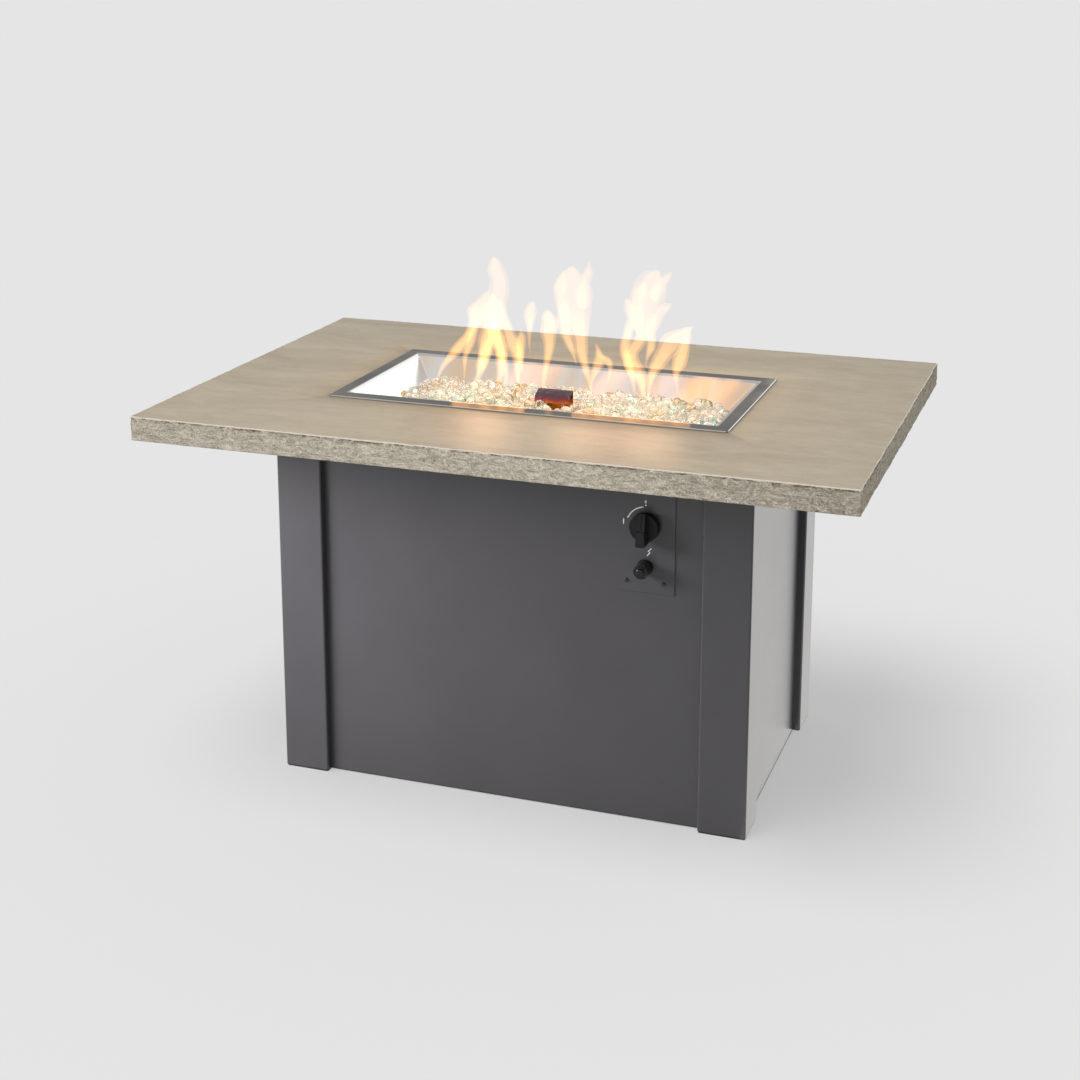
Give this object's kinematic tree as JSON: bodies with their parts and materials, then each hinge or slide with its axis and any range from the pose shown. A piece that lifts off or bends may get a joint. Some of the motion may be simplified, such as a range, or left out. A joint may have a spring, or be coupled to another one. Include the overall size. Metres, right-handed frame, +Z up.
{
  "type": "gas fire pit table",
  "caption": "Low rectangular gas fire table: cast top with a drop-in burner and glass gems, sheet-steel base, push-and-turn knob, push-button igniter and a rear door.",
  "frame": {"origin": "on the floor under the middle of the table top", "axes": "+Z up, +X along the long side, -Y towards the side with the controls"},
  "size_m": [1.118, 0.762, 0.6125],
  "materials": {
    "concrete": "cast concrete, sealed, satin top and split-face edges",
    "powder_coat": "satin dark grey powder coat",
    "zinc": "zinc-plated steel",
    "mirror_steel": "polished stainless steel",
    "stainless": "brushed stainless steel",
    "heated_steel": "stainless steel tinted by heat",
    "gems": "clear rounded glass",
    "brass": "machined brass",
    "cast_aluminium": "die-cast, matt",
    "black_plastic": "matt black moulding",
    "gloss_black": "glossy black moulding",
    "ceramic": "glazed ceramic",
    "black_steel": "black oxide steel",
    "lead_black": "silicone sleeve",
    "copper": "drawn copper",
    "battery": "plain shrink sleeve, no text"
  },
  "bodies": {
    "base": {"table_top": "concrete", "top_inserts": "brass", "top_bolts": "zinc", "leg_front_left": "powder_coat", "leg_rear_left": "powder_coat", "leg_front_right": "powder_coat", "leg_rear_right": "powder_coat", "foot_glides": "black_plastic", "leg_bolts": "zinc", "front_panel": "powder_coat", "left_panel": "powder_coat", "right_panel": "powder_coat", "rear_frame": "powder_coat", "top_rail_front": "powder_coat", "top_rail_rear": "powder_coat", "top_rail_left": "powder_coat", "top_rail_right": "powder_coat", "bottom_shelf": "powder_coat", "hinge_frame_leaves": "black_steel", "hinge_pins": "zinc", "catch_magnet": "black_plastic", "burner_pan": "mirror_steel", "burner_tube": "stainless", "burner_locknut": "stainless", "air_mixer": "brass", "inlet_elbow": "brass", "sensor_bracket": "heated_steel", "igniter_hood": "heated_steel", "electrode": "ceramic", "thermocouple": "copper", "gem_bed": "gems", "control_plate": "powder_coat", "plate_screws": "black_steel", "valve_body": "cast_aluminium", "igniter_barrel": "black_plastic", "igniter_nut": "black_plastic", "igniter_battery": "battery", "battery_contacts": "zinc", "gas_line": "stainless", "thermocouple_nut": "brass", "thermocouple_lead": "copper", "igniter_lead": "lead_black"},
    "door": {"access_door": "powder_coat", "hinge_door_leaves": "black_steel", "door_pull": "black_plastic", "catch_strike": "zinc"},
    "gas_plug": {"valve_plug": "brass"},
    "knob": {"control_knob": "black_plastic", "valve_stem": "zinc"},
    "cap": {"igniter_cap": "gloss_black"},
    "button": {"igniter_button": "gloss_black"}
  },
  "joints": [
    {"name": "door_hinge", "type": "hinge", "parent": "base", "child": "door", "pos_m": [-0.269, 0.2323, 0.291], "axis": [0, 0, 1], "range_deg": [0, 110]},
    {"name": "plug_turn", "type": "hinge", "parent": "base", "child": "gas_plug", "pos_m": [0.218, -0.2, 0.474], "axis": [0, -1, 0], "range_deg": [0, 90]},
    {"name": "knob_push", "type": "slide", "parent": "gas_plug", "child": "knob", "axis": [0, 1, 0], "range_m": [0, 0.003], "stiffness_N_per_m": 2000, "springref_m": -0.002},
    {"name": "cap_unscrew", "type": "slide", "parent": "base", "child": "cap", "axis": [0, -1, 0], "range_m": [0, 0.06]},
    {"name": "button_press", "type": "slide", "parent": "cap", "child": "button", "axis": [0, 1, 0], "range_m": [0, 0.0025], "stiffness_N_per_m": 800, "springref_m": -0.002}
  ]
}
